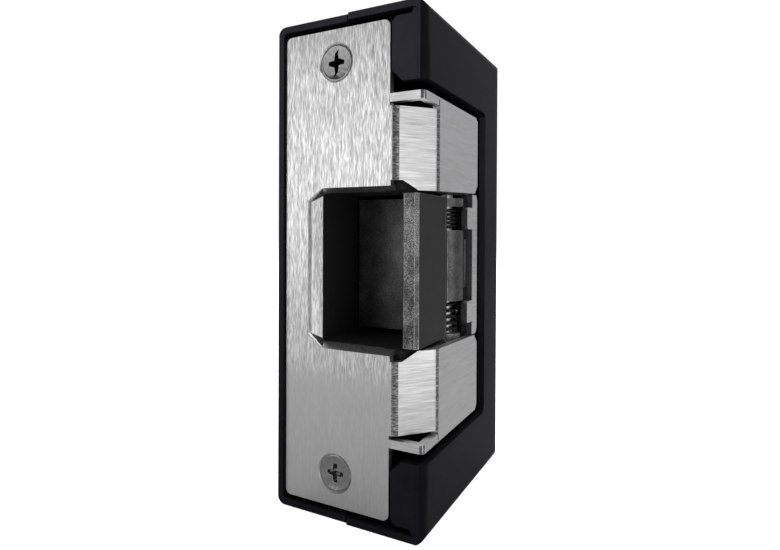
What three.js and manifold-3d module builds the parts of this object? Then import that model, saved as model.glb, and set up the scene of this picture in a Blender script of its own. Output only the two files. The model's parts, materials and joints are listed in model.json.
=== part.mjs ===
// An electric door strike in a black two-shell case: a brushed stainless faceplate with formed lips,
// a hinged keeper with torsion springs, and a solenoid that swings a locking lever behind the keeper.
//
// Millimetres. X runs across the faceplate, Y into the door frame, Z up. The pieces are drawn about the
// middle of the faceplate's front face, and the whole group is then moved so that the origin is the
// middle of the case's flat rear face.

import * as THREE from "three";
import { mergeVertices } from "three/addons/utils/BufferGeometryUtils.js";
import Module from "manifold-3d";

const wasm = await Module();
wasm.setup();

// ---------------------------------------------------------------- driving dimensions

const GAP = 0.3; // standard clearance between two pieces that rest on each other
const RUN = 0.25; // radial clearance of a pin in its hole

// Faceplate
const PLATE_WIDTH = 31.75;
const PLATE_HEIGHT = 123.83;
const SHEET = 2.0;
const PLATE_CORNER = 1.8;
const SCREW_SPACING = 106.6;
const PLATE_SCREW_RADIUS = 2.7;
const PLATE_SCREW_HEAD_RADIUS = 4.9;
const PLATE_SCREW_HEAD_HEIGHT = 2.2;
const PLATE_SCREW_LENGTH = 11;

// Opening for the latch
const OPENING_HEIGHT = 40.0; // between the two lips
const OPENING_SPREAD = 1.0; // the cut in the flat plate is this much taller at each end
const OPENING_LEFT = 8.0; // left of the plate's middle
const OPENING_CORNER = 3.8;
const FLANGE_DEPTH = 3.2;
const FLANGE_DRAFT = 1.9; // how far the formed edge leans in at the left
const FLANGE_DRAFT_END = 1.2; // and at the two ends
const FLANGE_CORNER = 0.7; // what is left of the opening's corner at the back of the formed edge
const FLANGE_WALL = 1.4;

// Lips: the plate's right side, formed round the corner of the door frame
const LIP_HEIGHT = 87.2;
const CORNER_REACH = 9.3; // from the plate's right edge to the outside of the lips
const RAMP_START = 1.4;
const RAMP_DEPTH = 9.0;
const RAMP_BEND = 2.6;
const LIP_BEHIND_PIVOT = 9.0;
const TAB_WIDTH = 2.1;
const SLIT = 0.9;
const LIP_NOTCH = 0.5; // upright cut between the tab and the side lip
const LIP_REAR_CORNER = 1.4;
const LIP_FLARE = 1.0; // how much the opening widens towards the rear of the side lips
const LIP_FLARE_CORNER = 2.4;
const RELIEF = 2.4; // notch beyond the opening where the plate meets the ramp

// Hinge strap
const STRAP_RISE = 4.4;
const STRAP_TAB_DEPTH = 4.2;
const STRAP_JOGGLE = 1.4;
const STRAP_REACH = 9.0; // joggled end behind the lip
const STRAP_CORNER = 1.6;

// Keeper
const KEEPER_END_GAP = 0.8;
const JAW_THICKNESS = 4.2;
const JAW_SET_BACK = 2.6; // jaw's outer face behind the outside of the lips
const JAW_FRONT = 2.0; // jaw's front face behind the plate's front face
const JAW_DEPTH = 18.0;
const JAW_CHAMFER = 0.85;
const JAW_FILLET = 6.5;
const EDGE_BREAK = 0.4; // small chamfer on a cast edge
const POCKET_DEPTH = 24.5; // plate's front face to the keeper's web
const WEB_THICKNESS = 2.6;
const PIVOT_SET_BACK = 6.4; // pivot axis behind the outside of the lips
const PIVOT_BEHIND_POCKET = 5.5;
const KNUCKLE_RADIUS = 5.0;
const BARREL_HEIGHT = 20.0;
const COLLAR_HEIGHT = 2.3;
const HINGE_BOSS_HEIGHT = 2.2; // the case carries the lower end of the keeper on this
const HINGE_BOSS_GAP = 0.2; // between the case's boss and the side lip
const HINGE_PIN_RADIUS = 1.9;
const SPRING_WIRE = 0.45; // radius
const SPRING_TURNS = 4;

// Catch on the keeper's web, and the lever's nose that blocks it
const CATCH_HALF_HEIGHT = 4.0;
const CATCH_POST = 3.0;
const CATCH_STEP = 2.8;
const CATCH_THICKNESS = 2.5;
const NOSE_DEPTH = 3.2;
const NOSE_WIDTH = 4.6;
const NOSE_CLEARANCE = 0.5;
const NOSE_TO_WEB = 0.8;
const SHANK_CORNER = 1.4; // from the catch's back to the corner where the lever's shank starts
const CATCH_TO_LEVER_PIN = 3.7;

// Strike case (the die-cast frame of the pocket)
const CASE_WALL = 2.8;
const CHEEK = 1.2; // thickness of the cheeks beside the solenoid
const CASE_END = 5.6;
const CASE_END_GAP = 1.1; // between the keeper's ends and the case
const EAR_HEIGHT = 8.0;
const EAR_WIDTH = 20.0;
const EAR_THICKNESS = 4.0;
const CASE_SCREW_RADIUS = 1.5;
const CASE_SCREW_HEAD_RADIUS = 2.8;
const CASE_SCREW_HEAD_HEIGHT = 1.6;
const CASE_SCREW_SPREAD = 13.0;

// Locking lever
const LEVER_ARM = 7.6; // from the lever's pivot to the plunger's cross pin
const LEVER_SWING = 18; // degrees
const LEVER_THICKNESS = 3.0;
const LEVER_PIN_RADIUS = 1.5;
const LEVER_EYE_RADIUS = 3.4;
const BRACKET_SHEET = 1.5;
const BRACKET_HALF_GAP = 6.0;
const BRACKET_WIDTH = 7.0;

// Solenoid
const COIL_LENGTH = 15.0;
const COIL_RADIUS = 6.5;
const BOBBIN_CHEEK = 1.2;
const BOBBIN_TUBE_WALL = 0.8;
const PLUNGER_RADIUS = 3.2;
const PLUNGER_SLOT = 3.7;
const CROSS_PIN_RADIUS = 1.0;
const YOKE_SHEET = 1.6;
const CORE_LENGTH = 5.0;
const CORE_RIVET_RADIUS = 2.0;
const YOKE_HOLE_RADIUS = 1.45;
const WINDING_INSET = 0.7; // the winding below the rim of the cheeks
const REAR_PLATE = 1.6;
const SOCKET = { width: 8.0, height: 5.0, depth: 5.0, wall: 0.9 };
const LEAD_SPREAD = 2.0; // each wire from the middle of the socket
const LEAD_RADIUS = 0.5;

// Housing
const RIM_PROUD = 0.8; // the rim stands in front of the plate
const WALL = 2.0;
const SIDE_GAP = 0.35; // plate to the left wall
const END_GAP = 1.1; // plate to the end walls
const RIGHT_SHELL_STEP = 0.45; // the right shell is this much larger at each end
const LIP_INSET = 0.6; // lips inside the housing's side
const SEAM = 4.0; // right of the plate's middle
const TONGUE = 3.0;
const TONGUE_THICKNESS = 0.9;
const OUTER_CORNER = 3.2; // seen from the front
const EDGE_ROUND = 3.0; // the upright edges
const REAR_ROOM = 2.0; // behind the rear plate
const POST_RECESS = 0.5;
const POST_SLOT = 1.3;
const POST_CHAMFER = 3.9;
const CUT_MARGIN_END = 2.6;
const CUT_MARGIN_REAR = 5.6;
const LUG_WIDTH = 16.0;
const LUG_HEIGHT = 12.0;
const LUG_DEPTH = 9.0;
const BOSS_RADIUS = 3.2;
const BOSS_INSET = 6.8; // shell screws from the end walls' inside
const BOSS_FRONT_DEPTH = 17.0;
const BOSS_REAR_INSET = 8.0;
const SHELL_SCREW_RADIUS = 1.4;
const SHELL_SCREW_HEAD_RADIUS = 2.7;
const SHELL_SCREW_LENGTH = 10.0;
const GROMMET_BORE = 3.4;
const GROMMET_HOLE = 5.0;
const GROMMET_FLANGE = 6.2;
const GROMMET_SHEET = 1.2;
const GROMMET_TO_LIP = 10.2; // sideways from the outside of the lips
const SINK = 1.6; // depth of a countersink in the left shell
const MOUNT_HOLE_RADIUS = 2.3;
const MOUNT_HOLE_SPACING = 92.0;
const MOUNT_HOLE_TO_LIP = 8.6;
const CROSS_SLOT = 0.35; // half the width of a small screw's cross

// Sides of the round pieces, and steps of each rounded corner
const ROUND = 32;
const SMALL_ROUND = 16;
const CORNER_STEPS = 5;

// ---------------------------------------------------------------- places worked out from them

const plateRight = PLATE_WIDTH / 2;
const lipOutside = plateRight + CORNER_REACH;
const housingLeft = -PLATE_WIDTH / 2 - SIDE_GAP - WALL;
const housingRight = lipOutside + LIP_INSET;
const housingFront = -RIM_PROUD;
const leftHalfHeight = PLATE_HEIGHT / 2 + END_GAP + WALL;
const rightHalfHeight = leftHalfHeight + RIGHT_SHELL_STEP;

const openingHalf = OPENING_HEIGHT / 2;
const cutHalf = openingHalf + OPENING_SPREAD;
const lipHalf = LIP_HEIGHT / 2;
const rampHalf = lipHalf - TAB_WIDTH - SLIT;

const keeperHalf = openingHalf - KEEPER_END_GAP;
const jawOutside = lipOutside - JAW_SET_BACK;
const jawInside = jawOutside - JAW_THICKNESS;
const pivot = new THREE.Vector2(lipOutside - PIVOT_SET_BACK, POCKET_DEPTH + PIVOT_BEHIND_POCKET);
const lipDepth = pivot.y + LIP_BEHIND_PIVOT;
const webLeft = -OPENING_LEFT + 0.6;
const webBack = POCKET_DEPTH + WEB_THICKNESS;
const springZone = [BARREL_HEIGHT / 2, keeperHalf - COLLAR_HEIGHT];
const bossTop = -keeperHalf - GAP; // upper face of the case's boss under the keeper
const hingeBossRadius = lipOutside - SHEET - HINGE_BOSS_GAP - pivot.x;

const caseInside = keeperHalf + CASE_END_GAP;
const caseHalf = caseInside + CASE_END;
const hingePocketHalf = -bossTop + HINGE_BOSS_HEIGHT;
const caseLeft = -OPENING_LEFT - 0.2 - CASE_WALL;
const caseRight = pivot.x + 3.6;
const caseFront = FLANGE_DEPTH + GAP;
const strapFront = lipDepth - STRAP_RISE;
const caseRearRight = lipOutside - SHEET - GAP - STRAP_JOGGLE - GAP;

const noseBack = webBack + NOSE_TO_WEB + NOSE_DEPTH;
const catchFront = noseBack + NOSE_CLEARANCE;
const catchBack = catchFront + CATCH_THICKNESS;
const catchLeft = webLeft + 0.4;
const catchRight = catchLeft + CATCH_POST + CATCH_STEP;
const leverPivot = new THREE.Vector2(catchRight - 1.0, catchBack + CATCH_TO_LEVER_PIN);
const solenoidAxis = leverPivot.y + LEVER_ARM;
const rearPlateFront = solenoidAxis + COIL_RADIUS + GAP + YOKE_SHEET + GAP;
const rearPlateBack = rearPlateFront + REAR_PLATE;
const housingBack = rearPlateBack + REAR_ROOM + WALL;

const housingMiddle = (housingLeft + housingRight) / 2;

// ---------------------------------------------------------------- solids

function solid(geometry) {
  const bare = geometry.index ? geometry.toNonIndexed() : geometry.clone();
  bare.deleteAttribute("normal");
  bare.deleteAttribute("uv");
  const merged = mergeVertices(bare, 1e-4);
  return new wasm.Manifold(
    new wasm.Mesh({
      numProp: 3,
      vertProperties: new Float32Array(merged.attributes.position.array),
      triVerts: new Uint32Array(merged.index.array),
    }),
  );
}

function geometryOf(made) {
  const mesh = made.getMesh();
  const geometry = new THREE.BufferGeometry();
  geometry.setAttribute("position", new THREE.BufferAttribute(new Float32Array(mesh.vertProperties), 3));
  geometry.setIndex(new THREE.BufferAttribute(new Uint32Array(mesh.triVerts), 1));
  geometry.computeVertexNormals();
  return geometry;
}

const join = (first, ...others) => others.reduce((made, other) => made.add(other), first);
const cut = (first, ...others) => others.reduce((made, other) => made.subtract(other), first);

function box(x0, x1, y0, y1, z0, z1) {
  const geometry = new THREE.BoxGeometry(x1 - x0, y1 - y0, z1 - z0);
  return solid(geometry.translate((x0 + x1) / 2, (y0 + y1) / 2, (z0 + z1) / 2));
}

function extruded(shape, length, curveSegments) {
  return new THREE.ExtrudeGeometry(shape, { depth: length, bevelEnabled: false, curveSegments });
}

// A shape drawn in X and Y, standing from z0 to z1.
function prismZ(shape, z0, z1, curveSegments = CORNER_STEPS) {
  return solid(extruded(shape, z1 - z0, curveSegments).translate(0, 0, z0));
}

// A shape drawn in X and Z, running from y0 to y1.
function prismY(shape, y0, y1, curveSegments = CORNER_STEPS) {
  return solid(extruded(shape, y1 - y0, curveSegments).rotateX(Math.PI / 2).translate(0, y1, 0));
}

// A shape drawn in Y and Z, running from x0 to x1.
function prismX(shape, x0, x1, curveSegments = CORNER_STEPS) {
  const turn = new THREE.Matrix4().makeBasis(
    new THREE.Vector3(0, 1, 0),
    new THREE.Vector3(0, 0, 1),
    new THREE.Vector3(1, 0, 0),
  );
  return solid(extruded(shape, x1 - x0, curveSegments).applyMatrix4(turn).translate(x0, 0, 0));
}

function rodZ(x, y, z0, z1, radius, sides = ROUND, topRadius = radius) {
  const geometry = new THREE.CylinderGeometry(topRadius, radius, z1 - z0, sides);
  return solid(geometry.rotateX(Math.PI / 2).translate(x, y, (z0 + z1) / 2));
}

function rodX(y, z, x0, x1, radius, sides = ROUND, farRadius = radius) {
  const geometry = new THREE.CylinderGeometry(farRadius, radius, x1 - x0, sides);
  return solid(geometry.rotateZ(-Math.PI / 2).translate((x0 + x1) / 2, y, z));
}

function rodY(x, z, y0, y1, radius, sides = ROUND, farRadius = radius) {
  const geometry = new THREE.CylinderGeometry(farRadius, radius, y1 - y0, sides);
  return solid(geometry.translate(x, (y0 + y1) / 2, z));
}

function outline(points) {
  return new THREE.Shape(points.map(([x, y]) => new THREE.Vector2(x, y)));
}

// A rectangle whose corners are rounded: radii run from the low-left corner, anticlockwise.
function roundedRect(x0, x1, y0, y1, radii) {
  const [a, b, c, d] = Array.isArray(radii) ? radii : [radii, radii, radii, radii];
  const shape = new THREE.Shape();
  shape.moveTo(x0 + a, y0);
  shape.lineTo(x1 - b, y0);
  if (b) shape.absarc(x1 - b, y0 + b, b, -Math.PI / 2, 0, false);
  shape.lineTo(x1, y1 - c);
  if (c) shape.absarc(x1 - c, y1 - c, c, 0, Math.PI / 2, false);
  shape.lineTo(x0 + d, y1);
  if (d) shape.absarc(x0 + d, y1 - d, d, Math.PI / 2, Math.PI, false);
  shape.lineTo(x0, y0 + a);
  if (a) shape.absarc(x0 + a, y0 + a, a, Math.PI, Math.PI * 1.5, false);
  return shape;
}

// A strip of sheet whose outer face follows the points and turns each corner on the outer radius.
function bentSheet(points, outerRadius, thickness, bendSteps = 5) {
  const outer = [];
  const inner = [];
  const add = (point, normal) => {
    outer.push([point.x, point.y]);
    inner.push([point.x - normal.x * thickness, point.y - normal.y * thickness]);
  };
  const corners = points.map(([x, y]) => new THREE.Vector2(x, y));
  const heading = (i) => corners[i + 1].clone().sub(corners[i]).normalize();
  const outward = (direction) => new THREE.Vector2(direction.y, -direction.x);
  add(corners[0], outward(heading(0)));
  for (let i = 1; i < corners.length - 1; i++) {
    const from = outward(heading(i - 1));
    const turn = from.angleTo(outward(heading(i)));
    const setBack = outerRadius * Math.tan(turn / 2);
    const start = corners[i].clone().addScaledVector(heading(i - 1), -setBack);
    const centre = start.clone().addScaledVector(from, -outerRadius);
    for (let step = 0; step <= bendSteps; step++) {
      const normal = from.clone().rotateAround(new THREE.Vector2(), (turn * step) / bendSteps);
      add(centre.clone().addScaledVector(normal, outerRadius), normal);
    }
  }
  const last = corners.length - 1;
  add(corners[last], outward(heading(last - 1)));
  return outline([...outer, ...inner.reverse()]);
}

const mirrorZ = (made) => made.mirror([0, 0, 1]);

// ---------------------------------------------------------------- housing

// The outside of one shell: its upright edges, its corners seen from the front and from the side are round.
function shellBlock(halfHeight, inset = 0) {
  const x0 = housingLeft + inset;
  const x1 = housingRight - inset;
  const y0 = housingFront - (inset ? 10 : 0);
  const y1 = housingBack - inset;
  const half = halfHeight - inset;
  const round = Math.max(EDGE_ROUND - inset, 0.6);
  const corner = Math.max(OUTER_CORNER - inset, 0.6);
  const plan = prismZ(roundedRect(x0, x1, y0, y1, [0.6, round, round, round]), -half, half);
  const front = prismY(roundedRect(x0, x1, -half, half, corner), y0, y1);
  const side = prismX(roundedRect(y0, y1, -half, half, [0.6, round, round, 0.6]), x0, x1);
  return plan.intersect(front).intersect(side);
}

function hollowShell(halfHeight) {
  return cut(shellBlock(halfHeight), shellBlock(halfHeight, WALL));
}

const bossPlaces = [-1, 1].flatMap((side) => {
  const z = side * (leftHalfHeight - WALL - BOSS_INSET);
  return [
    [BOSS_FRONT_DEPTH, z],
    [housingBack - BOSS_REAR_INSET, z],
  ];
});

const bossStart = housingLeft + WALL + GAP;
const grommetPlace = new THREE.Vector3(
  lipOutside - GROMMET_TO_LIP, 0, -(caseInside - GROMMET_FLANGE - 1),
);

const tongueFront = POCKET_DEPTH / 4;

// The left shell's edge, thinned to a tongue that slips inside the right shell.
function tongue() {
  const span = [SEAM - GAP / 2 - 0.5, SEAM - GAP / 2 + TONGUE];
  const outside = shellBlock(leftHalfHeight, WALL - TONGUE_THICKNESS);
  const ring = cut(outside, shellBlock(leftHalfHeight, WALL));
  return ring.intersect(box(span[0], span[1], tongueFront, housingBack, -leftHalfHeight, leftHalfHeight));
}

function tongueRoom() {
  const span = [SEAM, SEAM + TONGUE + GAP];
  const room = shellBlock(leftHalfHeight, WALL - TONGUE_THICKNESS - GAP);
  return room.intersect(
    box(span[0], span[1], tongueFront - GAP, housingBack, -leftHalfHeight, leftHalfHeight),
  );
}

// A hole through the housing's rear wall.
function rearHole(x, z, radius) {
  return rodY(x, z, housingBack - WALL - 1, housingBack + 1, radius);
}

function leftShell() {
  const half = leftHalfHeight;
  const keep = box(housingLeft - 1, SEAM - GAP / 2, housingFront - 1, housingBack + 1, -half, half);
  let shell = join(hollowShell(half).intersect(keep), tongue());
  const lugFront = SHEET + GAP;
  const lugBack = lugFront + LUG_DEPTH;
  const lugLeft = housingLeft + WALL - 0.5;
  const lugRound = 2.0;
  for (const side of [-1, 1]) {
    const z = (side * SCREW_SPACING) / 2;
    const plan = roundedRect(
      lugLeft, LUG_WIDTH / 2, z - LUG_HEIGHT / 2, z + LUG_HEIGHT / 2, [0, lugRound, lugRound, 0],
    );
    const thread = rodY(0, z, lugFront - 1, lugBack + 1, PLATE_SCREW_RADIUS + RUN);
    shell = cut(join(shell, prismY(plan, lugFront, lugBack)), thread);
  }
  const outer = SHELL_SCREW_HEAD_RADIUS + GAP;
  const inner = SHELL_SCREW_RADIUS + GAP;
  const bore = SHELL_SCREW_RADIUS + RUN;
  for (const [y, z] of bossPlaces) {
    const through = rodX(y, z, housingLeft - 1, housingLeft + WALL + 1, bore, SMALL_ROUND);
    const sink = rodX(y, z, housingLeft - 0.01, housingLeft + SINK, outer, ROUND, inner);
    shell = cut(shell, through, sink);
  }
  const hole = rearHole((housingLeft + WALL + SEAM) / 2, MOUNT_HOLE_SPACING / 2, MOUNT_HOLE_RADIUS);
  return cut(shell, hole, mirrorZ(hole));
}

// The post beside the plate closes the front of the right shell above and below the lips.
function cornerPost() {
  const x0 = plateRight + 2 * GAP;
  const x1 = housingRight - 1.0;
  const z0 = lipHalf + CUT_MARGIN_END - 1.0;
  const z1 = rightHalfHeight - WALL - POST_SLOT;
  const wallEdge = z1 + POST_SLOT + 0.5;
  const front = housingFront + POST_RECESS;
  const shape = outline([
    [x0, z0 + POST_CHAMFER], [x0 + POST_CHAMFER, z0], [x1, z0], [x1, wallEdge],
    [x1 - 2.2, wallEdge], [x1 - 3.0, z1], [x0 + 1.2, z1], [x0, z1 - 1.2],
  ]);
  return prismY(shape, front, front + WALL).intersect(shellBlock(rightHalfHeight));
}

// The way through the right shell's side and front corner for the lips.
function lipCut() {
  const half = lipHalf + CUT_MARGIN_END;
  const rear = lipDepth + CUT_MARGIN_REAR;
  const round = 2.0;
  return prismX(
    roundedRect(housingFront - 5, rear, -half, half, [0, round, round, 0]), plateRight, housingRight + 1,
  );
}

function rightShell() {
  const half = rightHalfHeight;
  const keep = box(SEAM + GAP / 2, housingRight + 1, housingFront - 1, housingBack + 1, -half, half);
  let shell = hollowShell(half).intersect(keep);
  shell = join(shell, cornerPost(), mirrorZ(cornerPost()));
  shell = cut(shell, lipCut(), tongueRoom());
  const threadEnd = bossStart + SHELL_SCREW_LENGTH;
  for (const [y, z] of bossPlaces) {
    const boss = rodX(y, z, bossStart, housingRight - WALL + 0.5, BOSS_RADIUS, SMALL_ROUND);
    const pilot = rodX(y, z, bossStart - 1, threadEnd, SHELL_SCREW_RADIUS + RUN, SMALL_ROUND);
    shell = cut(join(shell, boss), pilot);
  }
  const leadHole = rearHole(grommetPlace.x, grommetPlace.z, GROMMET_HOLE);
  const upper = rearHole(lipOutside - MOUNT_HOLE_TO_LIP, MOUNT_HOLE_SPACING / 2, MOUNT_HOLE_RADIUS);
  return cut(shell, leadHole, upper, mirrorZ(upper));
}

function shellScrew([y, z]) {
  const face = housingLeft + 0.2;
  const seat = housingLeft + SINK;
  const tip = housingLeft + WALL + SHELL_SCREW_LENGTH - 1;
  const head = rodX(y, z, face, seat, SHELL_SCREW_HEAD_RADIUS, ROUND, SHELL_SCREW_RADIUS);
  const shank = rodX(y, z, seat - 0.1, tip, SHELL_SCREW_RADIUS, SMALL_ROUND);
  return cut(join(head, shank), crossRecessX(face, y, z, 1.5, 1.0));
}

// A driver's cross, sunk into a head that faces -X.
function crossRecessX(face, y, z, reach, depth) {
  const blade = (wide, tall) => box(face - 1, face + depth, y - wide, y + wide, z - tall, z + tall);
  return join(blade(reach, CROSS_SLOT), blade(CROSS_SLOT, reach));
}

// ---------------------------------------------------------------- faceplate

// The underside of the ramps: its X at a depth, and its depth at an X.
const rampRun = new THREE.Vector2(CORNER_REACH - RAMP_START, RAMP_DEPTH);
const rampShift = (SHEET * rampRun.length()) / rampRun.y;

function rampInside(depth) {
  return plateRight + RAMP_START - rampShift + (depth * rampRun.x) / rampRun.y;
}

function rampDepthInside(x) {
  return ((x - plateRight - RAMP_START + rampShift) * rampRun.y) / rampRun.x;
}

// The opening's outline: a rectangle with its two left corners cut off.
function openingPoints(left, half, corner) {
  const right = plateRight + 1;
  return [
    [left, -half + corner], [left + corner, -half], [right, -half],
    [right, half], [left + corner, half], [left, half - corner],
  ];
}

// A solid between two outlines with the same number of points, the first at y0 and the second at y1.
function lofted(front, back, y0, y1) {
  const geometry = extruded(outline(front), y1 - y0, 1).rotateX(Math.PI / 2).translate(0, y1, 0);
  const position = geometry.attributes.position;
  const near = 1e-3;
  for (let i = 0; i < position.count; i++) {
    if (position.getY(i) < y1 - near) continue;
    const x = position.getX(i);
    const z = position.getZ(i);
    const match = front.findIndex((point) => Math.hypot(point[0] - x, point[1] - z) < near);
    position.setX(i, back[match][0]);
    position.setZ(i, back[match][1]);
  }
  return solid(geometry);
}

// The opening, spread outwards, as it leans in from the plate's face to the back of its formed edge.
function formedOpening(spread, overrun) {
  const bevel = spread * 0.4;
  const left = -OPENING_LEFT - spread;
  const front = openingPoints(left, cutHalf + spread, OPENING_CORNER + bevel);
  const back = openingPoints(left + FLANGE_DRAFT, cutHalf + spread - FLANGE_DRAFT_END, FLANGE_CORNER + bevel);
  const at = (share) =>
    front.map(([x, z], i) => [x + (back[i][0] - x) * share, z + (back[i][1] - z) * share]);
  return lofted(at(-overrun), at(1 + overrun), -overrun * FLANGE_DEPTH, (1 + overrun) * FLANGE_DEPTH);
}

function upperLip() {
  const start = plateRight - 2;
  const ramp = bentSheet(
    [[start, 0], [plateRight + RAMP_START, 0], [lipOutside, RAMP_DEPTH], [lipOutside, RAMP_DEPTH + 4]],
    RAMP_BEND,
    SHEET,
  );
  const tabPlan = new THREE.Shape();
  const tabRound = 1.2;
  const rear = RAMP_DEPTH + 4;
  tabPlan.moveTo(start, 0);
  tabPlan.lineTo(lipOutside - tabRound, 0);
  tabPlan.absarc(lipOutside - tabRound, tabRound, tabRound, -Math.PI / 2, 0, false);
  tabPlan.lineTo(lipOutside, rear);
  tabPlan.lineTo(lipOutside - SHEET, rear);
  tabPlan.lineTo(lipOutside - SHEET, SHEET);
  tabPlan.lineTo(start, SHEET);
  const sideFront = RAMP_DEPTH + LIP_NOTCH;
  const sidePlan = outline([
    [sideFront, openingHalf], [lipDepth - LIP_FLARE_CORNER, openingHalf + LIP_FLARE],
    [lipDepth, openingHalf + LIP_FLARE + LIP_FLARE_CORNER], [lipDepth, lipHalf - LIP_REAR_CORNER],
    [lipDepth - LIP_REAR_CORNER, lipHalf], [sideFront, lipHalf],
  ]);
  const notch = box(
    lipOutside - SHEET - 1, lipOutside + 1, RAMP_DEPTH, sideFront, rampHalf - GAP, lipHalf - LIP_NOTCH,
  );
  const lip = join(
    prismZ(ramp, openingHalf, rampHalf),
    prismZ(tabPlan, rampHalf + SLIT, lipHalf, 5),
    prismX(sidePlan, lipOutside - SHEET, lipOutside),
  );
  return cut(lip, notch);
}

// The notch that lets the plate, the flange and the ramp be bent apart at the opening's corner.
function cornerRelief() {
  return prismY(
    outline([
      [plateRight + 0.2, openingHalf - 1], [lipOutside - 3.2, openingHalf - 1],
      [lipOutside - 3.7, openingHalf], [plateRight + 2.8, openingHalf + RELIEF],
      [plateRight + 0.2, openingHalf + RELIEF],
    ]),
    -1,
    SHEET + 6,
  );
}

const caseScrewPlaces = [-1, 1].flatMap((side) =>
  [-1, 1].map((end) => [
    caseLeft + EAR_WIDTH / 2 + (side * CASE_SCREW_SPREAD) / 2,
    end * (caseHalf + EAR_HEIGHT / 2),
  ]),
);

function faceplate() {
  const half = PLATE_HEIGHT / 2;
  const flat = prismY(roundedRect(-plateRight, plateRight, -half, half, PLATE_CORNER), 0, SHEET);
  const edge = cut(
    formedOpening(FLANGE_WALL, 0),
    formedOpening(0, 0.01),
    box(plateRight, plateRight + 5, -1, FLANGE_DEPTH + 1, -cutHalf * 2, cutHalf * 2),
  );
  const opening = outline(openingPoints(-OPENING_LEFT, cutHalf, OPENING_CORNER));
  let plate = cut(join(flat, upperLip(), mirrorZ(upperLip())), prismY(opening, -1, SHEET + 1));
  plate = cut(join(plate, edge), cornerRelief(), mirrorZ(cornerRelief()));
  plate = cut(plate, box(plateRight - 3, lipOutside + 1, -1, RAMP_DEPTH + 6, -openingHalf, openingHalf));
  const bore = PLATE_SCREW_RADIUS + GAP;
  for (const side of [-1, 1]) {
    const z = (side * SCREW_SPACING) / 2;
    const hole = rodY(0, z, -1, SHEET + 1, bore);
    const sink = rodY(0, z, -0.01, PLATE_SCREW_HEAD_HEIGHT, PLATE_SCREW_HEAD_RADIUS + GAP, ROUND, bore);
    plate = cut(plate, hole, sink);
  }
  for (const [x, z] of caseScrewPlaces) {
    plate = cut(plate, rodY(x, z, SHEET / 2 - 0.2, SHEET + 1, CASE_SCREW_RADIUS + RUN, SMALL_ROUND));
  }
  return plate;
}

function plateScrew(side) {
  const z = (side * SCREW_SPACING) / 2;
  const face = 0.15;
  const cross = { reach: 2.5, half: 0.55, depth: 1.5 };
  const seat = PLATE_SCREW_HEAD_HEIGHT;
  const head = rodY(0, z, face, seat, PLATE_SCREW_HEAD_RADIUS, ROUND, PLATE_SCREW_RADIUS);
  const shank = rodY(0, z, seat - 0.2, PLATE_SCREW_LENGTH, PLATE_SCREW_RADIUS, SMALL_ROUND);
  const blade = (wide, tall) => box(-wide, wide, face - 1, face + cross.depth, z - tall, z + tall);
  return cut(join(head, shank), blade(cross.reach, cross.half), blade(cross.half, cross.reach));
}

// The strap closes the opening behind the keeper. Its tabs take the fixed legs of the keeper's springs,
// and its joggled ends lie behind the two lips.
function hingeStrap() {
  const [front, rear] = [strapFront, lipDepth];
  const inside = lipOutside - SHEET;
  const behindLip = inside - GAP;
  const half = openingHalf + 0.6;
  const [z0, z1] = [springZone[0] + 0.4, springZone[1] - 0.2];
  const end = openingHalf + STRAP_REACH;
  const strip = prismX(
    outline([
      [front, -half], [rear - 0.8, -half], [rear, -half + STRAP_CORNER], [rear, half - STRAP_CORNER],
      [rear - 0.8, half], [front, half],
    ]),
    inside, lipOutside,
  );
  const tabPlan = roundedRect(front - STRAP_TAB_DEPTH, front + 1, z0, z1, [1, 0, 0, 1]);
  const tab = prismX(tabPlan, inside, lipOutside);
  const joggle = prismY(
    outline([
      [inside + 0.5, openingHalf - STRAP_JOGGLE], [inside + 0.5, openingHalf - GAP],
      [behindLip, openingHalf - GAP], [behindLip, end],
      [behindLip - STRAP_JOGGLE, end], [behindLip - STRAP_JOGGLE, openingHalf - STRAP_JOGGLE],
    ]),
    front + 0.5, rear - 1.0,
  );
  return join(strip, tab, mirrorZ(tab), joggle, mirrorZ(joggle));
}

// ---------------------------------------------------------------- keeper

function keeper() {
  const neckRight = pivot.x + 2.2;
  const rear = JAW_FRONT + JAW_DEPTH;
  const [r, fillet] = [KNUCKLE_RADIUS, JAW_FILLET];
  const plan = new THREE.Shape();
  plan.moveTo(jawInside + EDGE_BREAK, JAW_FRONT);
  plan.lineTo(jawOutside - JAW_CHAMFER, JAW_FRONT);
  plan.lineTo(jawOutside, JAW_FRONT + JAW_CHAMFER);
  plan.lineTo(jawOutside, rear);
  plan.lineTo(neckRight, rear + 1.2);
  plan.lineTo(neckRight, pivot.y);
  plan.lineTo(pivot.x - 2, pivot.y + 1.0);
  plan.lineTo(pivot.x - r - 1.5, webBack);
  plan.lineTo(webLeft, webBack);
  plan.lineTo(webLeft, POCKET_DEPTH);
  plan.lineTo(jawInside - fillet, POCKET_DEPTH);
  plan.absarc(jawInside - fillet, POCKET_DEPTH - fillet, fillet, Math.PI / 2, 0, true);
  plan.lineTo(jawInside, JAW_FRONT + EDGE_BREAK);
  // The neck is cut back for the upper spring, and below the barrel for the lower one and the case's boss.
  const room = (z0, z1) => rodZ(pivot.x, pivot.y, z0, z1, r + 0.5);
  const body = cut(
    prismZ(plan, -keeperHalf, keeperHalf, 8),
    room(springZone[0], springZone[1]),
    room(-keeperHalf - 1, -springZone[0]),
  );
  const barrel = rodZ(pivot.x, pivot.y, -springZone[0], springZone[0], r);
  const collar = rodZ(pivot.x, pivot.y, springZone[1], keeperHalf, r);
  const [x0, z0] = [catchLeft, CATCH_HALF_HEIGHT];
  const post = box(x0, x0 + CATCH_POST, webBack - 0.5, catchBack, -z0, z0);
  const step = box(x0, catchRight, catchFront, catchBack, -z0, z0);
  const bore = rodZ(pivot.x, pivot.y, -keeperHalf - 1, keeperHalf + 1, HINGE_PIN_RADIUS + RUN);
  return cut(join(body, barrel, collar, post, step), bore);
}

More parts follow.
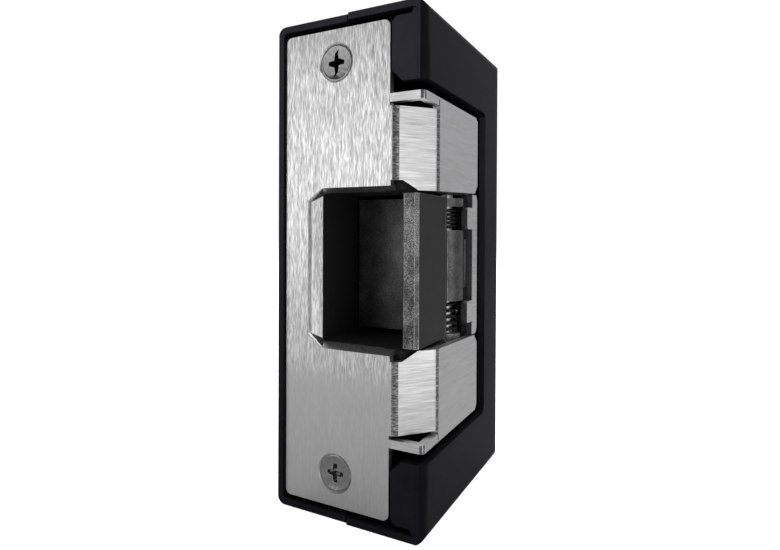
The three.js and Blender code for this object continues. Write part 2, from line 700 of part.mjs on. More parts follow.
function hingePin() {
  const seat = caseHalf + GAP;
  const pin = rodZ(pivot.x, pivot.y, -caseHalf + 1.2, seat + 0.3, HINGE_PIN_RADIUS);
  const head = rodZ(pivot.x, pivot.y, seat, seat + 1.4, HINGE_PIN_RADIUS + 1.2);
  return join(pin, head);
}

// A wire wound about the hinge, with a straight leg at each end.
class TorsionSpringPath extends THREE.Curve {
  constructor(radius, z0, z1, turns, startAngle, legs) {
    super();
    Object.assign(this, { radius, z0, z1, turns, startAngle, legs });
  }
  getPoint(t, target = new THREE.Vector3()) {
    const legShare = 0.06;
    const wound = Math.min(Math.max((t - legShare) / (1 - 2 * legShare), 0), 1);
    const angle = this.startAngle + wound * this.turns * Math.PI * 2;
    const z = this.z0 + (this.z1 - this.z0) * wound;
    target.set(Math.cos(angle) * this.radius, Math.sin(angle) * this.radius, z);
    const beyond = t < legShare ? (legShare - t) / legShare : Math.max((t - 1 + legShare) / legShare, 0);
    const sense = t < legShare ? -1 : 1;
    const length = t < legShare ? this.legs[0] : this.legs[1];
    target.x += -Math.sin(angle) * sense * beyond * length;
    target.y += Math.cos(angle) * sense * beyond * length;
    return target;
  }
}

function wireSolid(path, wireRadius, centre, steps) {
  const section = new THREE.Shape();
  section.absarc(0, 0, wireRadius, 0, Math.PI * 2, false);
  const geometry = new THREE.ExtrudeGeometry(section, { steps, extrudePath: path, curveSegments: 3 });
  return solid(geometry.translate(centre.x, centre.y, 0));
}

// A keeper spring wound between two heights.
function keeperSpring(z0, z1) {
  const radius = HINGE_PIN_RADIUS + 0.5 + SPRING_WIRE;
  const margin = SPRING_WIRE + 0.5;
  const turns = SPRING_TURNS + 0.25;
  const path = new TorsionSpringPath(radius, z0 + margin, z1 - margin, turns, Math.PI * 1.5, [3.2, 3.2]);
  return wireSolid(path, SPRING_WIRE, pivot, 40);
}

// ---------------------------------------------------------------- strike case

function strikeCase() {
  const rear = rearPlateFront - GAP;
  const slabPlan = outline([
    [caseLeft, caseFront], [rampInside(caseFront) - GAP, caseFront],
    [caseRight, rampDepthInside(caseRight) + GAP],
    [caseRight, strapFront - GAP], [caseRearRight, strapFront - GAP], [caseRearRight, rear], [caseLeft, rear],
  ]);
  const slab = prismZ(slabPlan, caseInside, caseHalf);
  const side = box(caseLeft, caseLeft + CASE_WALL, caseFront, rear, -caseHalf, caseHalf);
  // A cheek above and below the solenoid closes off the case behind the hinge.
  const cheekFront = pivot.y + KNUCKLE_RADIUS + CHEEK;
  const cheek = box(caseRearRight - CHEEK, caseRearRight, cheekFront, rear, yokeHalf + GAP, caseInside + 1);
  const earFront = SHEET + GAP;
  const earBack = earFront + EAR_THICKNESS;
  const earRight = caseLeft + EAR_WIDTH;
  const earPlan = roundedRect(caseLeft, earRight, caseHalf - 1, caseHalf + EAR_HEIGHT, [0, 0, 2, 2]);
  const ear = prismY(earPlan, earFront, earBack);
  const foot = box(caseLeft, earRight, earFront, caseFront + 1, cutHalf + FLANGE_WALL + 1.2, caseHalf);
  // A sunken floor under the keeper's hinge, with the boss that carries it.
  const sunk = box(
    pivot.x - KNUCKLE_RADIUS - 1, caseRight + 1, JAW_FRONT + JAW_DEPTH + 1, strapFront, -hingePocketHalf, 0,
  );
  const boss = rodZ(pivot.x, pivot.y, -hingePocketHalf - 1, bossTop, hingeBossRadius);
  const screwBore = CASE_SCREW_RADIUS + RUN;
  const bores = [
    rodZ(pivot.x, pivot.y, -caseHalf - 1, caseHalf + 1, HINGE_PIN_RADIUS + RUN),
    ...caseScrewPlaces.map(([x, z]) => rodY(x, z, 0, earBack + 2, screwBore, SMALL_ROUND)),
    ...rearScrewPlaces.map(([x, z]) => rodY(x, z, rear - 7, rear + 1, screwBore, SMALL_ROUND)),
  ];
  const ends = [slab, ear, foot, cheek].flatMap((end) => [end, mirrorZ(end)]);
  const frame = cut(join(side, ...ends), sunk);
  return cut(join(frame, boss), ...bores);
}

// A screw whose head stands behind its seat, on the +Y side.
function panScrew(x, z, seat, length) {
  const top = seat + CASE_SCREW_HEAD_HEIGHT;
  const shank = rodY(x, z, seat - length, seat, CASE_SCREW_RADIUS, SMALL_ROUND);
  const head = rodY(x, z, seat, top, CASE_SCREW_HEAD_RADIUS, SMALL_ROUND);
  const reach = 1.6;
  const blade = (wide, tall) => box(x - wide, x + wide, top - 0.9, top + 0.9, z - tall, z + tall);
  return cut(join(head, shank), blade(reach, CROSS_SLOT), blade(CROSS_SLOT, reach));
}

function caseScrew([x, z]) {
  const seat = SHEET + GAP + EAR_THICKNESS + GAP;
  return panScrew(x, z, seat, seat - SHEET / 2 - 0.3);
}

const rearScrewPlaces = [-1, 1].flatMap((end) =>
  [caseLeft + 5, caseRearRight - 5].map((x) => [x, end * (caseInside + CASE_END / 2)]),
);

function rearPlate() {
  const through = (x, z, radius, sides = SMALL_ROUND) =>
    rodY(x, z, rearPlateFront - 1, rearPlateBack + 1, radius, sides);
  const screwHoles = [...yokeScrewPlaces, ...rearScrewPlaces].map(([x, z]) =>
    through(x, z, CASE_SCREW_RADIUS + RUN),
  );
  const leadWay = through(grommetPlace.x, grommetPlace.z, GROMMET_BORE + 1, ROUND);
  const shape = roundedRect(caseLeft, caseRearRight, -caseHalf, caseHalf, 2);
  return cut(prismY(shape, rearPlateFront, rearPlateBack), ...screwHoles, leadWay);
}

// ---------------------------------------------------------------- locking lever

const leverHalf = LEVER_THICKNESS / 2;
const leverSwing = THREE.MathUtils.degToRad(LEVER_SWING);
const plungerTravel = LEVER_ARM * Math.tan(leverSwing);

// Sideways room that the swinging lever needs beside the catch, at a depth.
const leverRoom = (depth) => (leverPivot.y - depth) * Math.sin(leverSwing) + NOSE_CLEARANCE;

function lever() {
  const [px, py] = [leverPivot.x, leverPivot.y];
  const noseLeft = catchRight + NOSE_CLEARANCE;
  const noseRight = noseLeft + NOSE_WIDTH;
  const noseFront = webBack + NOSE_TO_WEB;
  // The nose's far corner comes forward as the lever swings, so it is cut back to stay clear of the web.
  const reach = py - webBack - NOSE_CLEARANCE;
  const cornerFront = py - (reach - (noseRight - px) * Math.sin(leverSwing)) / Math.cos(leverSwing);
  const headHalf = CROSS_PIN_RADIUS + GAP + 0.9;
  const headBack = solenoidAxis + 2.2;
  const plan = outline([
    [noseLeft, noseFront], [noseRight, cornerFront], [noseRight, catchBack], [px + LEVER_EYE_RADIUS, py],
    [px + headHalf, headBack], [px - headHalf, headBack], [px - headHalf, py],
    [catchRight + leverRoom(catchBack), catchBack + SHANK_CORNER],
    [catchRight + leverRoom(noseBack), noseBack],
    [noseLeft, noseBack],
  ]);
  const eye = rodZ(px, py, -leverHalf, leverHalf, LEVER_EYE_RADIUS);
  const slotHalf = CROSS_PIN_RADIUS + GAP;
  const slotShape = roundedRect(
    px - slotHalf, px + slotHalf, solenoidAxis - slotHalf, solenoidAxis + slotHalf + 0.6, slotHalf - 0.1,
  );
  const slot = prismZ(slotShape, -leverHalf - 1, leverHalf + 1, 4);
  const bore = rodZ(px, py, -leverHalf - 1, leverHalf + 1, LEVER_PIN_RADIUS + RUN, SMALL_ROUND);
  return cut(join(prismZ(plan, -leverHalf, leverHalf), eye), slot, bore);
}

function leverBracket() {
  const x0 = leverPivot.x - BRACKET_WIDTH / 2;
  const x1 = leverPivot.x + BRACKET_WIDTH / 2;
  const back = rearPlateFront - GAP;
  const front = leverPivot.y - LEVER_EYE_RADIUS;
  const half = BRACKET_HALF_GAP + BRACKET_SHEET;
  const ear = box(x0, x1, front, back, BRACKET_HALF_GAP, half);
  const base = box(x0, x1, back - BRACKET_SHEET, back, -half, half);
  const feet = box(x0, x1, back - BRACKET_SHEET, back, -half - 6, half + 6);
  const holes = [-1, 1].map((end) =>
    rodY(leverPivot.x, end * (half + 3), back - 4, back + 1, CASE_SCREW_RADIUS + RUN, SMALL_ROUND),
  );
  const pinHole = rodZ(leverPivot.x, leverPivot.y, -half - 1, half + 1, LEVER_PIN_RADIUS + RUN, ROUND);
  return cut(join(ear, mirrorZ(ear), base, feet), pinHole, ...holes);
}

function leverPin() {
  const half = BRACKET_HALF_GAP + BRACKET_SHEET;
  const pin = rodZ(leverPivot.x, leverPivot.y, -half - 0.6, half + 0.6, LEVER_PIN_RADIUS, SMALL_ROUND);
  const seat = half + GAP;
  const head = rodZ(leverPivot.x, leverPivot.y, seat, seat + 1.0, LEVER_PIN_RADIUS + 0.9, SMALL_ROUND);
  return join(pin, head);
}

// A nylon bush holds the lever at mid-height from below, and its return spring is wound above it.
function leverBush() {
  const [z0, z1] = [-BRACKET_HALF_GAP + GAP, -leverHalf - GAP];
  return cut(
    rodZ(leverPivot.x, leverPivot.y, z0, z1, LEVER_PIN_RADIUS + 1.1, SMALL_ROUND),
    rodZ(leverPivot.x, leverPivot.y, z0 - 1, z1 + 1, LEVER_PIN_RADIUS + RUN, SMALL_ROUND),
  );
}

function leverSpring() {
  const wire = 0.3;
  const margin = wire + 0.35;
  const [z0, z1] = [leverHalf + margin, BRACKET_HALF_GAP - margin];
  const path = new TorsionSpringPath(LEVER_PIN_RADIUS + margin, z0, z1, 3.25, 0, [1.6, 1.6]);
  return wireSolid(path, wire, leverPivot, 28);
}

// ---------------------------------------------------------------- solenoid

const yokeLeft = leverPivot.x + BRACKET_WIDTH / 2 + 1.0;
const coilStart = yokeLeft + YOKE_SHEET + GAP;
const coilEnd = coilStart + COIL_LENGTH;
const yokeRight = coilEnd + GAP + YOKE_SHEET;
const yokeHalf = COIL_RADIUS + 0.9;
const tubeOuter = PLUNGER_RADIUS + RUN + BOBBIN_TUBE_WALL;
const socketMiddle = yokeHalf + 1.2 + SOCKET.height / 2;
const yokeScrewPlaces = [
  [(yokeLeft + yokeRight) / 2 - 4.5, 0],
  [(yokeLeft + yokeRight) / 2 + 4.5, 0],
  [leverPivot.x, BRACKET_HALF_GAP + BRACKET_SHEET + 3],
  [leverPivot.x, -BRACKET_HALF_GAP - BRACKET_SHEET - 3],
];
// A round piece on the solenoid's axis.
const axial = (x0, x1, radius) => rodX(solenoidAxis, 0, x0, x1, radius);

function yoke() {
  const back = rearPlateFront - GAP;
  const front = solenoidAxis - yokeHalf + 1;
  const base = box(yokeLeft, yokeRight, back - YOKE_SHEET, back, -yokeHalf, yokeHalf);
  const near = box(yokeLeft, yokeLeft + YOKE_SHEET, front, back, -yokeHalf, yokeHalf);
  const far = box(yokeRight - YOKE_SHEET, yokeRight, front, back, -yokeHalf, yokeHalf);
  const plungerHole = axial(yokeLeft - 1, yokeLeft + YOKE_SHEET + 1, PLUNGER_RADIUS + RUN);
  const coreHole = axial(yokeRight - YOKE_SHEET - 1, yokeRight + 1, CORE_RIVET_RADIUS + RUN);
  const holes = yokeScrewPlaces
    .slice(0, 2)
    .map(([x, z]) => rodY(x, z, back - 4, back + 1, YOKE_HOLE_RADIUS, SMALL_ROUND));
  return cut(join(base, near, far), plungerHole, coreHole, ...holes);
}

function bobbin() {
  const tube = axial(coilStart, coilEnd, tubeOuter);
  const cheekNear = axial(coilStart, coilStart + BOBBIN_CHEEK, COIL_RADIUS);
  const cheekFar = axial(coilEnd - BOBBIN_CHEEK, coilEnd, COIL_RADIUS);
  return cut(join(tube, cheekNear, cheekFar), axial(coilStart - 1, coilEnd + 1, PLUNGER_RADIUS + RUN));
}

function winding() {
  const x0 = coilStart + BOBBIN_CHEEK + GAP;
  const x1 = coilEnd - BOBBIN_CHEEK - GAP;
  return cut(axial(x0, x1, COIL_RADIUS - WINDING_INSET), axial(x0 - 1, x1 + 1, tubeOuter + GAP));
}

function core() {
  const stub = axial(coilEnd - CORE_LENGTH, coilEnd + 0.1, PLUNGER_RADIUS - 0.1);
  const rivet = axial(coilEnd - 0.5, yokeRight + 0.5, CORE_RIVET_RADIUS);
  const head = axial(yokeRight + 0.15, yokeRight + 0.9, CORE_RIVET_RADIUS + 0.8);
  return join(stub, rivet, head);
}

const plungerTip = leverPivot.x - CROSS_PIN_RADIUS - 2.4;
const plungerEnd = coilEnd - CORE_LENGTH - plungerTravel - 0.4;

function plunger() {
  const r = PLUNGER_RADIUS + 1;
  const slotHalf = PLUNGER_SLOT / 2;
  const slot = box(
    plungerTip - 1, leverPivot.x + 4.6, solenoidAxis - r, solenoidAxis + r, -slotHalf, slotHalf,
  );
  const pinHole = rodZ(leverPivot.x, solenoidAxis, -r, r, CROSS_PIN_RADIUS + 0.2, SMALL_ROUND);
  return cut(axial(plungerTip, plungerEnd, PLUNGER_RADIUS), slot, pinHole);
}

function crossPin() {
  const half = PLUNGER_RADIUS + 0.5;
  return rodZ(leverPivot.x, solenoidAxis, -half, half, CROSS_PIN_RADIUS, SMALL_ROUND);
}

// A two-way socket on the rear plate for the lead.
function leadSocket() {
  const { width, height, depth, wall } = SOCKET;
  const x = (yokeLeft + yokeRight) / 2;
  const z = socketMiddle;
  const back = rearPlateFront - GAP;
  const front = back - depth;
  const body = box(x - width / 2, x + width / 2, front, back, z - height / 2, z + height / 2);
  const roomHalf = height / 2 - wall;
  const room = (shift) => {
    const middle = x + shift * LEAD_SPREAD;
    return box(middle - 1.5, middle + 1.5, front - 1, back - 1.2, z - roomHalf, z + roomHalf);
  };
  return cut(body, room(-1), room(1));
}

// The coil's two wires, from its far cheek along the rear plate to the socket.
function coilLead(side) {
  const x = (yokeLeft + yokeRight) / 2 + side * LEAD_SPREAD;
  const socketFront = rearPlateFront - GAP - SOCKET.depth;
  const front = socketFront - 2.2;
  const onCoil = COIL_RADIUS - WINDING_INSET + GAP + LEAD_RADIUS;
  const path = new THREE.CatmullRomCurve3([
    new THREE.Vector3(x, solenoidAxis + 1, onCoil),
    new THREE.Vector3(x, (solenoidAxis + front) / 2, COIL_RADIUS + 1.4),
    new THREE.Vector3(x, front, socketMiddle - 1.6),
    new THREE.Vector3(x, front + 0.6, socketMiddle),
    new THREE.Vector3(x, socketFront + 1.2, socketMiddle),
  ]);
  return wireSolid(path, LEAD_RADIUS, new THREE.Vector2(), 12);
}

function grommet() {
  const { x, z } = grommetPlace;
  const wallFront = housingBack - WALL;
  const body = rodY(x, z, wallFront - GROMMET_SHEET, housingBack - 0.3, GROMMET_HOLE - GAP);
  const flange = rodY(x, z, wallFront - GROMMET_SHEET - GAP, wallFront - GAP, GROMMET_FLANGE);
  return cut(join(body, flange), rodY(x, z, wallFront - 8, housingBack + 1, GROMMET_BORE));
}

// ---------------------------------------------------------------- assembly

const finishes = {
  blackCase: new THREE.MeshStandardMaterial({ color: 0x1b1b1e, roughness: 0.42, metalness: 0.0 }),
  stainless: new THREE.MeshStandardMaterial({ color: 0xb9b9bc, roughness: 0.35, metalness: 1.0 }),
  screwSteel: new THREE.MeshStandardMaterial({ color: 0x8f8f92, roughness: 0.28, metalness: 1.0 }),
  keeperSteel: new THREE.MeshStandardMaterial({ color: 0x3c3c40, roughness: 0.55, metalness: 0.8 }),
  castCase: new THREE.MeshStandardMaterial({ color: 0x242427, roughness: 0.6, metalness: 0.5 }),
  springSteel: new THREE.MeshStandardMaterial({ color: 0x151516, roughness: 0.3, metalness: 0.9 }),
  zincSteel: new THREE.MeshStandardMaterial({ color: 0xa9abad, roughness: 0.4, metalness: 1.0 }),
  nylon: new THREE.MeshStandardMaterial({ color: 0xe6e2d6, roughness: 0.5, metalness: 0.0 }),
  coilTape: new THREE.MeshStandardMaterial({ color: 0x7a3d12, roughness: 0.45, metalness: 0.2 }),
  rubber: new THREE.MeshStandardMaterial({ color: 0x101010, roughness: 0.8, metalness: 0.0 }),
};

const strike = new THREE.Group();
strike.position.set(-housingMiddle, -housingBack, 0);

function add(name, made, material) {
  const mesh = new THREE.Mesh(geometryOf(made), material);
  mesh.name = name;
  strike.add(mesh);
}

add("left_shell", leftShell(), finishes.blackCase);
add("right_shell", rightShell(), finishes.blackCase);
bossPlaces.forEach((place, i) => add(`shell_screw_${i + 1}`, shellScrew(place), finishes.screwSteel));
add("faceplate", faceplate(), finishes.stainless);
add("upper_plate_screw", plateScrew(1), finishes.screwSteel);
add("lower_plate_screw", plateScrew(-1), finishes.screwSteel);
add("hinge_strap", hingeStrap(), finishes.stainless);
add("keeper", keeper(), finishes.keeperSteel);
add("hinge_pin", hingePin(), finishes.zincSteel);
add("upper_keeper_spring", keeperSpring(springZone[0], springZone[1]), finishes.springSteel);
add("lower_keeper_spring", keeperSpring(bossTop, -springZone[0]), finishes.springSteel);
add("strike_case", strikeCase(), finishes.castCase);
caseScrewPlaces.forEach((place, i) => add(`case_screw_${i + 1}`, caseScrew(place), finishes.screwSteel));
add("rear_plate", rearPlate(), finishes.zincSteel);
rearScrewPlaces.forEach(([x, z], i) => {
  add(`rear_plate_screw_${i + 1}`, panScrew(x, z, rearPlateBack + 0.1, 6), finishes.screwSteel);
});
add("locking_lever", lever(), finishes.zincSteel);
add("lever_bracket", leverBracket(), finishes.zincSteel);
add("lever_pin", leverPin(), finishes.zincSteel);
add("lever_bush", leverBush(), finishes.nylon);
add("lever_spring", leverSpring(), finishes.springSteel);
[2, 3].forEach((i) => {
  const [x, z] = yokeScrewPlaces[i];
  add(`bracket_screw_${i - 1}`, panScrew(x, z, rearPlateBack + 0.1, 4), finishes.screwSteel);
});
add("solenoid_yoke", yoke(), finishes.zincSteel);
add("coil_bobbin", bobbin(), finishes.nylon);
add("coil_winding", winding(), finishes.coilTape);
add("solenoid_core", core(), finishes.zincSteel);
add("plunger", plunger(), finishes.zincSteel);
add("plunger_cross_pin", crossPin(), finishes.screwSteel);
add("lead_socket", leadSocket(), finishes.nylon);
add("coil_lead_1", coilLead(-1), finishes.rubber);
add("coil_lead_2", coilLead(1), finishes.coilTape);
add("lead_grommet", grommet(), finishes.rubber);

const root = new THREE.Group();
root.add(strike);

export default root;
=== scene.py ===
# The looks of an electric door strike: a black two-shell case, a brushed stainless faceplate with formed
# lips, a sintered keeper on torsion springs, and the solenoid works behind it.
#
# Metres. X runs across the faceplate, Y into the door frame, Z up.

import json
import math

import bmesh
import bpy
from mathutils import Matrix, Vector


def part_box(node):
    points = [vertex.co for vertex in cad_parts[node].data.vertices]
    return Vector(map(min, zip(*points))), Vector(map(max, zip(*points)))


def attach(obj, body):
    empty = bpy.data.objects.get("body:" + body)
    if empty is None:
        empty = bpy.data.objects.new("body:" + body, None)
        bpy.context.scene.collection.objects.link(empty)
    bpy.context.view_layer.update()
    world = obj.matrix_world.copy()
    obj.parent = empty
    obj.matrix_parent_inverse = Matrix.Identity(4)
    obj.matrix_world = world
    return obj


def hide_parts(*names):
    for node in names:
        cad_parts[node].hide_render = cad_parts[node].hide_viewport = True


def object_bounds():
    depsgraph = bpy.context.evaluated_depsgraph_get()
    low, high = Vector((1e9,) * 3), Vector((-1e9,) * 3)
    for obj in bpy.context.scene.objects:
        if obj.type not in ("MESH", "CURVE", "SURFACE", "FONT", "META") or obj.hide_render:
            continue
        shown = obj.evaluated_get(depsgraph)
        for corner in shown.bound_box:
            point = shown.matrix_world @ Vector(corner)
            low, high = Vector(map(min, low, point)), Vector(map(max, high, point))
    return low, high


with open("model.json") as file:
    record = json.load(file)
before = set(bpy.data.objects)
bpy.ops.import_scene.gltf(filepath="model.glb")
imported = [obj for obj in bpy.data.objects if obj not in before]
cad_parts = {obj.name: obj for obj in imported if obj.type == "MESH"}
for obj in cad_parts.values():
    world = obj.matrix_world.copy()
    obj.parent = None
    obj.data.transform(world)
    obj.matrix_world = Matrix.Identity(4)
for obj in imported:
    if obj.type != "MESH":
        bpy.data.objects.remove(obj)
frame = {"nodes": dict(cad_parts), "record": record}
cad_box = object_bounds()

MM = 0.001
record = frame["record"]
slot_of = {part["node"]: part["material_slot"] for part in record["subparts"]}
body_of = {node: body for body, nodes in record["behaviour"]["bodies"].items() for node in nodes}


def middle(node):
    low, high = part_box(node)
    return (low + high) / 2


plate_low, plate_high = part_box("faceplate")
plate_middle_x = middle("upper_plate_screw").x
plate_front = plate_low.y
lips_start = plate_high.x - 8.9 * MM  # where the flat plate ends and the formed lips begin
hinge = middle("hinge_pin")


# ------------------------------------------------------------------ camera, floor and lights

def make_camera():
    """A wide lens in front of the plate's right half, turned back towards the strike."""
    camera = bpy.data.cameras.new("camera")
    camera.lens = 25.06
    camera.sensor_width = 36
    camera.shift_y = -0.052
    holder = bpy.data.objects.new("camera", camera)
    bpy.context.collection.objects.link(holder)
    stand = Vector((plate_middle_x + 78.0 * MM, plate_front - 117.95 * MM, 10.0 * MM))
    turn = (
        Matrix.Rotation(math.radians(27.72), 4, "Z")
        @ Matrix.Rotation(math.radians(-0.43), 4, "X")
        @ Matrix.Rotation(math.radians(-0.24), 4, "Y")
        @ Matrix.Rotation(math.radians(90), 4, "X")
    )
    holder.matrix_world = Matrix.Translation(stand) @ turn
    bpy.context.scene.camera = holder


def aimed(location, target):
    back = (Vector(location) - Vector(target)).normalized()
    return Matrix.Translation(Vector(location)) @ back.to_track_quat("Z", "Y").to_matrix().to_4x4()


def soft_box(name, location, target, width, height, brightness):
    """A square lamp whose face has the given brightness, whatever its size."""
    lamp = bpy.data.lights.new(name, "AREA")
    lamp.shape = "RECTANGLE"
    lamp.size = width
    lamp.size_y = height
    lamp.energy = brightness * width * height * math.pi
    holder = bpy.data.objects.new(name, lamp)
    bpy.context.collection.objects.link(holder)
    holder.matrix_world = aimed(location, target)
    holder.visible_camera = False


def seen_or_lit(tree, seen, lit):
    """A node that gives one colour to the eye and another to reflections and bounced light."""
    path = tree.nodes.new("ShaderNodeLightPath")
    choose = tree.nodes.new("ShaderNodeMix")
    choose.data_type = "RGBA"
    choose.inputs["A"].default_value = (lit, lit, lit, 1)
    choose.inputs["B"].default_value = (seen, seen, seen, 1)
    tree.links.new(path.outputs["Is Camera Ray"], choose.inputs["Factor"])
    return choose


def make_floor():
    mesh = bpy.data.meshes.new("floor")
    shape = bmesh.new()
    bmesh.ops.create_grid(shape, x_segments=8, y_segments=8, size=6.0)
    bmesh.ops.translate(shape, verts=shape.verts, vec=(0, 0, cad_box[0].z - 0.02 * MM))
    shape.to_mesh(mesh)
    shape.free()
    floor = bpy.data.objects.new("floor", mesh)
    bpy.context.collection.objects.link(floor)
    paper = bpy.data.materials.new("floor_paper")
    paper.use_nodes = True
    tree = paper.node_tree
    shader = tree.nodes["Principled BSDF"]
    tree.links.new(seen_or_lit(tree, 0.97, 0.55).outputs["Result"], shader.inputs["Base Color"])
    tree.links.new(seen_or_lit(tree, 0.97, 0.0).outputs["Result"], shader.inputs["Emission Color"])
    shader.inputs["Emission Strength"].default_value = 0.95
    shader.inputs["Roughness"].default_value = 0.9
    shader.inputs["Specular IOR Level"].default_value = 0.0
    mesh.materials.append(paper)


def make_world():
    """White to the eye. On the strike it is bright from behind and dim from in front, where the lamps are."""
    world = bpy.data.worlds.new("studio")
    bpy.context.scene.world = world
    world.use_nodes = True
    nodes, links = world.node_tree.nodes, world.node_tree.links
    nodes.clear()
    direction = nodes.new("ShaderNodeTexCoord")
    parts = nodes.new("ShaderNodeSeparateXYZ")
    links.new(direction.outputs["Generated"], parts.inputs[0])
    strength = nodes.new("ShaderNodeMapRange")
    strength.interpolation_type = "SMOOTHSTEP"
    strength.inputs["From Min"].default_value = 0.25
    strength.inputs["From Max"].default_value = 0.8
    strength.inputs["To Min"].default_value = 0.16
    strength.inputs["To Max"].default_value = 0.62
    links.new(parts.outputs["Y"], strength.inputs["Value"])
    light = nodes.new("ShaderNodeBackground")
    light.inputs["Color"].default_value = (0.98, 0.98, 1.0, 1)
    links.new(strength.outputs[0], light.inputs["Strength"])
    white = nodes.new("ShaderNodeBackground")
    white.inputs["Color"].default_value = (1, 1, 1, 1)
    white.inputs["Strength"].default_value = 1.05
    seen = nodes.new("ShaderNodeLightPath")
    choose = nodes.new("ShaderNodeMixShader")
    out = nodes.new("ShaderNodeOutputWorld")
    links.new(seen.outputs["Is Camera Ray"], choose.inputs[0])
    links.new(light.outputs[0], choose.inputs[1])
    links.new(white.outputs[0], choose.inputs[2])
    links.new(choose.outputs[0], out.inputs["Surface"])


def make_studio():
    make_camera()
    make_floor()
    make_world()
    plate = (plate_middle_x, plate_front, 10 * MM)
    soft_box("plate_box", (-0.38, -0.68, 0.09), plate, 0.56, 0.46, 1.25)
    soft_box("ramp_strip", (0.135, -0.115, 0.01), (18 * MM, -55 * MM, 0), 0.09, 0.15, 1.15)
    soft_box("top_box", (0.15, 0.25, 1.2), (0, 0, 0), 1.6, 1.6, 2.6)
    scene = bpy.context.scene
    scene.view_settings.view_transform = "Standard"
    scene.view_settings.look = "None"


# ------------------------------------------------------------------ finishes

class Finish:
    """A material under construction: short helpers for its nodes, all on Object coordinates."""

    def __init__(self, name):
        self.material = bpy.data.materials.new(name)
        self.material.use_nodes = True
        self.nodes = self.material.node_tree.nodes
        self.links = self.material.node_tree.links
        self.shader = self.nodes["Principled BSDF"]
        self.place = self.nodes.new("ShaderNodeTexCoord").outputs["Object"]

    def set(self, **values):
        for name, value in values.items():
            self.shader.inputs[name.replace("_", " ").title().replace("Ior", "IOR")].default_value = value

    def noise(self, stretch, detail=4.0, roughness=0.55):
        """Noise whose cells measure the given lengths along X, Y and Z."""
        mapping = self.nodes.new("ShaderNodeMapping")
        mapping.inputs["Scale"].default_value = [1 / length for length in stretch]
        self.links.new(self.place, mapping.inputs["Vector"])
        noise = self.nodes.new("ShaderNodeTexNoise")
        noise.inputs["Scale"].default_value = 1.0
        noise.inputs["Detail"].default_value = detail
        noise.inputs["Roughness"].default_value = roughness
        self.links.new(mapping.outputs[0], noise.inputs["Vector"])
        return noise.outputs["Fac"]

    def ramp(self, factor, stops):
        ramp = self.nodes.new("ShaderNodeValToRGB")
        first, last = ramp.color_ramp.elements
        first.position, first.color = stops[0][0], self.colour(stops[0][1])
        last.position, last.color = stops[-1][0], self.colour(stops[-1][1])
        for position, colour in stops[1:-1]:
            ramp.color_ramp.elements.new(position).color = self.colour(colour)
        self.links.new(factor, ramp.inputs["Fac"])
        return ramp.outputs["Color"]

    @staticmethod
    def colour(value):
        return (*value, 1) if isinstance(value, tuple) else (value, value, value, 1)

    def between(self, factor, low, high, start=0.25, end=0.75):
        """The factor moved into a range."""
        node = self.nodes.new("ShaderNodeMapRange")
        node.inputs["From Min"].default_value = start
        node.inputs["From Max"].default_value = end
        node.inputs["To Min"].default_value = low
        node.inputs["To Max"].default_value = high
        self.links.new(factor, node.inputs["Value"])
        return node.outputs["Result"]

    def axis(self, letter, start, end):
        """0 before start and 1 after end along one axis."""
        parts = self.nodes.new("ShaderNodeSeparateXYZ")
        self.links.new(self.place, parts.inputs[0])
        node = self.nodes.new("ShaderNodeMapRange")
        node.interpolation_type = "SMOOTHSTEP"
        node.inputs["From Min"].default_value = start
        node.inputs["From Max"].default_value = end
        self.links.new(parts.outputs[letter], node.inputs["Value"])
        return node.outputs["Result"]

    def mixed(self, share, first, second, kind="FLOAT"):
        """The first where the share is 0, the second where it is 1. Each is a number or a node's output."""
        node = self.nodes.new("ShaderNodeMix")
        node.data_type = kind
        for name, value in (("Factor", share), ("A", first), ("B", second)):
            if isinstance(value, bpy.types.NodeSocket):
                self.links.new(value, node.inputs[name])
            else:
                node.inputs[name].default_value = value
        return node.outputs["Result"]

    def tinted(self, share, first, second):
        """One colour fading into another."""
        return self.mixed(share, first, second, "RGBA")

    def bump(self, height, depth, strength=1.0):
        node = self.nodes.new("ShaderNodeBump")
        node.inputs["Strength"].default_value = strength
        node.inputs["Distance"].default_value = depth
        self.links.new(height, node.inputs["Height"])
        return node.outputs["Normal"]

    def feed(self, socket, output):
        self.links.new(output, self.shader.inputs[socket])


